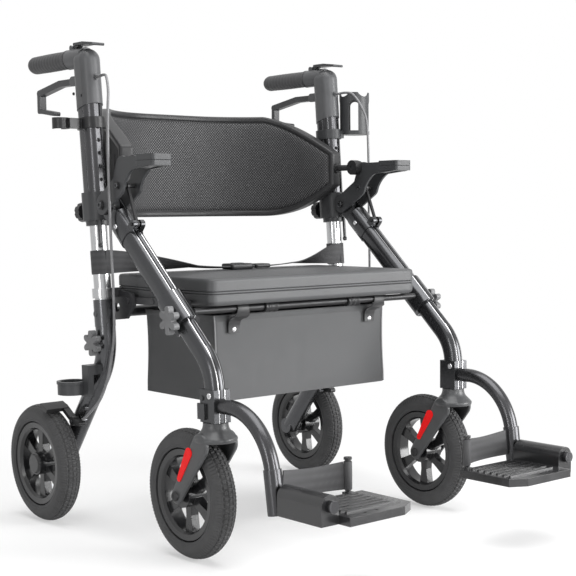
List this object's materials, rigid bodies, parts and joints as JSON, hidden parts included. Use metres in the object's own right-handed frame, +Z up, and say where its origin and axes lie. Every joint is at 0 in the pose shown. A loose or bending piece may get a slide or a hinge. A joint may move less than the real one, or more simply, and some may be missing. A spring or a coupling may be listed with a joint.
{
  "type": "rollator transport chair",
  "caption": "Folding walking frame with padded seat, bow backrest, armrests, storage bag, swivelling front wheels, hand brakes and foot rests for pushing a sitter.",
  "frame": {"origin": "on the floor, at the middle of the bounding box", "axes": "+Z up, the chair faces -Y, +X to the sitter's left"},
  "size_m": [0.739, 0.94, 0.9115],
  "materials": {
    "bare_aluminium": "satin",
    "dark_plastic": "moulded, fine grain",
    "black_plastic": "moulded",
    "bag_fabric": "coated weave",
    "webbing": "woven band",
    "grey_metal": "metallic powder coat",
    "dark_steel": "blackened",
    "tyre": "matt",
    "grip_rubber": "matt",
    "reflector": "prismatic",
    "seat_skin": "moulded foam skin",
    "mesh_fabric": "spacer mesh"
  },
  "bodies": {
    "rear_frame": {"rear_frame": "bare_aluminium", "clamp_bracket_l": "dark_plastic", "clamp_bracket_r": "dark_plastic", "bag": "bag_fabric", "belts": "webbing", "buckle": "dark_plastic", "cable_l": "black_plastic", "cable_r": "black_plastic"},
    "front_frame": {"armrest_l": "dark_plastic", "armrest_r": "dark_plastic", "front_leg_l": "grey_metal", "front_leg_r": "grey_metal", "front_links": "dark_steel"},
    "seat": {"seat_pad": "seat_skin", "seat_pan": "black_plastic"},
    "backrest": {"backrest": "mesh_fabric", "back_rods": "dark_steel"},
    "handle_l": {"handle_tube_l": "grey_metal", "housing_l": "dark_plastic", "grip_l": "grip_rubber", "cup_holder": "dark_plastic"},
    "clamp_knob_l": {"clamp_knob_l": "black_plastic"},
    "brake_lever_l": {"brake_lever_l": "dark_plastic"},
    "park_lever_l": {"park_lever_l": "dark_plastic"},
    "rear_knob_l": {"rear_knob_l": "black_plastic"},
    "brake_arm_l": {"brake_arm_l": "dark_steel"},
    "front_knob_l": {"front_knob_l": "black_plastic"},
    "front_lower_l": {"front_lower_l": "grey_metal"},
    "foot_plate_l": {"foot_plate_l": "dark_plastic"},
    "rear_leg_l": {"rear_leg_l": "grey_metal"},
    "rear_wheel_l": {"rear_rim_l": "black_plastic", "rear_tyre_l": "tyre"},
    "front_wheel_l": {"front_rim_l": "black_plastic", "front_tyre_l": "tyre"},
    "caster_l": {"fork_l": "dark_plastic", "reflector_l": "reflector"},
    "hanger_l": {"hanger_l": "grey_metal", "heel_strap_l": "webbing"},
    "handle_r": {"handle_tube_r": "grey_metal", "housing_r": "dark_plastic", "grip_r": "grip_rubber", "cane_clip": "black_plastic"},
    "clamp_knob_r": {"clamp_knob_r": "black_plastic"},
    "brake_lever_r": {"brake_lever_r": "dark_plastic"},
    "park_lever_r": {"park_lever_r": "dark_plastic"},
    "rear_knob_r": {"rear_knob_r": "black_plastic"},
    "brake_arm_r": {"brake_arm_r": "dark_steel"},
    "front_knob_r": {"front_knob_r": "black_plastic"},
    "front_lower_r": {"front_lower_r": "grey_metal"},
    "foot_plate_r": {"foot_plate_r": "dark_plastic"},
    "rear_leg_r": {"rear_leg_r": "grey_metal", "cane_cup": "dark_plastic"},
    "rear_wheel_r": {"rear_rim_r": "black_plastic", "rear_tyre_r": "tyre"},
    "front_wheel_r": {"front_rim_r": "black_plastic", "front_tyre_r": "tyre"},
    "caster_r": {"fork_r": "dark_plastic", "reflector_r": "reflector"},
    "hanger_r": {"hanger_r": "grey_metal", "heel_strap_r": "webbing"}
  },
  "joints": [
    {"name": "frame_fold", "type": "hinge", "parent": "rear_frame", "child": "front_frame", "pos_m": [0, 0.15397, 0.614], "axis": [1, 0, 0], "range_deg": [0, 28], "deforming": ["bag", "belts", "buckle"]},
    {"name": "seat_flip", "type": "hinge", "parent": "front_frame", "child": "seat", "pos_m": [0, -0.06706, 0.42993], "axis": [1, 0, 0], "range_deg": [0, 95], "deforming": ["belts", "buckle"]},
    {"name": "backrest_flip", "type": "hinge", "parent": "front_frame", "child": "backrest", "pos_m": [0, 0.10097, 0.689], "axis": [-1, 0, 0], "range_deg": [-170, 0]},
    {"name": "handle_height_l", "type": "slide", "parent": "rear_frame", "child": "handle_l", "axis": [0, 0.0715, 0.9974], "range_m": [0, 0.1], "deforming": ["cable_l"]},
    {"name": "clamp_knob_turn_l", "type": "hinge", "parent": "rear_frame", "child": "clamp_knob_l", "pos_m": [0.289, 0.24269, 0.60172], "axis": [0, 0.9974, -0.0715], "continuous": true},
    {"name": "brake_squeeze_l", "type": "hinge", "parent": "handle_l", "child": "brake_lever_l", "pos_m": [0.289, 0.25782, 0.842], "axis": [1, 0, 0], "range_deg": [0, 11], "stiffness_Nm_per_rad": 2, "springref_deg": -3.44},
    {"name": "park_lift_l", "type": "hinge", "parent": "handle_l", "child": "park_lever_l", "pos_m": [0.289, 0.263, 0.903], "axis": [-1, 0, 0], "range_deg": [0, 35]},
    {"name": "rear_leg_length_l", "type": "slide", "parent": "rear_frame", "child": "rear_leg_l", "axis": [0, -0.0715, -0.9974], "range_m": [0, 0.04], "deforming": ["cable_l"]},
    {"name": "rear_knob_turn_l", "type": "hinge", "parent": "rear_leg_l", "child": "rear_knob_l", "pos_m": [0.319, 0.18534, 0.361], "axis": [1, 0, 0], "continuous": true},
    {"name": "brake_swing_l", "type": "hinge", "parent": "rear_leg_l", "child": "brake_arm_l", "pos_m": [0.315, 0.267, 0.205], "axis": [-1, 0, 0], "range_deg": [0, 4.2]},
    {"name": "rear_wheel_spin_l", "type": "hinge", "parent": "rear_leg_l", "child": "rear_wheel_l", "pos_m": [0.334, 0.355, 0.115], "axis": [1, 0, 0], "continuous": true},
    {"name": "front_leg_length_l", "type": "slide", "parent": "front_frame", "child": "front_lower_l", "axis": [0, -0.7478, -0.6639], "range_m": [0, 0.03]},
    {"name": "front_knob_turn_l", "type": "hinge", "parent": "front_frame", "child": "front_knob_l", "pos_m": [0.319, -0.06738, 0.41748], "axis": [1, 0, 0], "continuous": true},
    {"name": "caster_swivel_l", "type": "hinge", "parent": "front_lower_l", "child": "caster_l", "pos_m": [0.289, -0.156, 0.27], "axis": [0, 0, 1], "range_deg": [-130, 130]},
    {"name": "front_wheel_spin_l", "type": "hinge", "parent": "caster_l", "child": "front_wheel_l", "pos_m": [0.289, -0.081, 0.115], "axis": [1, 0, 0], "continuous": true},
    {"name": "footrest_pull_l", "type": "slide", "parent": "front_lower_l", "child": "hanger_l", "axis": [0, -1, 0], "range_m": [0, 0.06]},
    {"name": "foot_plate_fold_l", "type": "hinge", "parent": "hanger_l", "child": "foot_plate_l", "pos_m": [0.284, -0.395, 0.152], "axis": [0, 1, 0], "range_deg": [0, 90], "deforming": ["heel_strap_l"]},
    {"name": "handle_height_r", "type": "slide", "parent": "rear_frame", "child": "handle_r", "axis": [0, 0.0715, 0.9974], "range_m": [0, 0.1], "deforming": ["cable_r"]},
    {"name": "clamp_knob_turn_r", "type": "hinge", "parent": "rear_frame", "child": "clamp_knob_r", "pos_m": [-0.289, 0.24269, 0.60172], "axis": [0, 0.9974, -0.0715], "continuous": true},
    {"name": "brake_squeeze_r", "type": "hinge", "parent": "handle_r", "child": "brake_lever_r", "pos_m": [-0.289, 0.25782, 0.842], "axis": [1, 0, 0], "range_deg": [0, 11], "stiffness_Nm_per_rad": 2, "springref_deg": -3.44},
    {"name": "park_lift_r", "type": "hinge", "parent": "handle_r", "child": "park_lever_r", "pos_m": [-0.289, 0.263, 0.903], "axis": [-1, 0, 0], "range_deg": [0, 35]},
    {"name": "rear_leg_length_r", "type": "slide", "parent": "rear_frame", "child": "rear_leg_r", "axis": [0, -0.0715, -0.9974], "range_m": [0, 0.04], "deforming": ["cable_r"]},
    {"name": "rear_knob_turn_r", "type": "hinge", "parent": "rear_leg_r", "child": "rear_knob_r", "pos_m": [-0.319, 0.18534, 0.361], "axis": [1, 0, 0], "continuous": true},
    {"name": "brake_swing_r", "type": "hinge", "parent": "rear_leg_r", "child": "brake_arm_r", "pos_m": [-0.315, 0.267, 0.205], "axis": [-1, 0, 0], "range_deg": [0, 4.2]},
    {"name": "rear_wheel_spin_r", "type": "hinge", "parent": "rear_leg_r", "child": "rear_wheel_r", "pos_m": [-0.334, 0.355, 0.115], "axis": [1, 0, 0], "continuous": true},
    {"name": "front_leg_length_r", "type": "slide", "parent": "front_frame", "child": "front_lower_r", "axis": [0, -0.7478, -0.6639], "range_m": [0, 0.03]},
    {"name": "front_knob_turn_r", "type": "hinge", "parent": "front_frame", "child": "front_knob_r", "pos_m": [-0.319, -0.06738, 0.41748], "axis": [1, 0, 0], "continuous": true},
    {"name": "caster_swivel_r", "type": "hinge", "parent": "front_lower_r", "child": "caster_r", "pos_m": [-0.289, -0.156, 0.27], "axis": [0, 0, 1], "range_deg": [-130, 130]},
    {"name": "front_wheel_spin_r", "type": "hinge", "parent": "caster_r", "child": "front_wheel_r", "pos_m": [-0.289, -0.081, 0.115], "axis": [1, 0, 0], "continuous": true},
    {"name": "footrest_pull_r", "type": "slide", "parent": "front_lower_r", "child": "hanger_r", "axis": [0, -1, 0], "range_m": [0, 0.06]},
    {"name": "foot_plate_fold_r", "type": "hinge", "parent": "hanger_r", "child": "foot_plate_r", "pos_m": [-0.284, -0.395, 0.152], "axis": [0, -1, 0], "range_deg": [0, 90], "deforming": ["heel_strap_r"]}
  ],
  "couplings": [
    {"joint": "brake_swing_l", "follows": "brake_squeeze_l", "ratio": 0.38182},
    {"joint": "brake_swing_r", "follows": "brake_squeeze_r", "ratio": 0.38182}
  ]
}
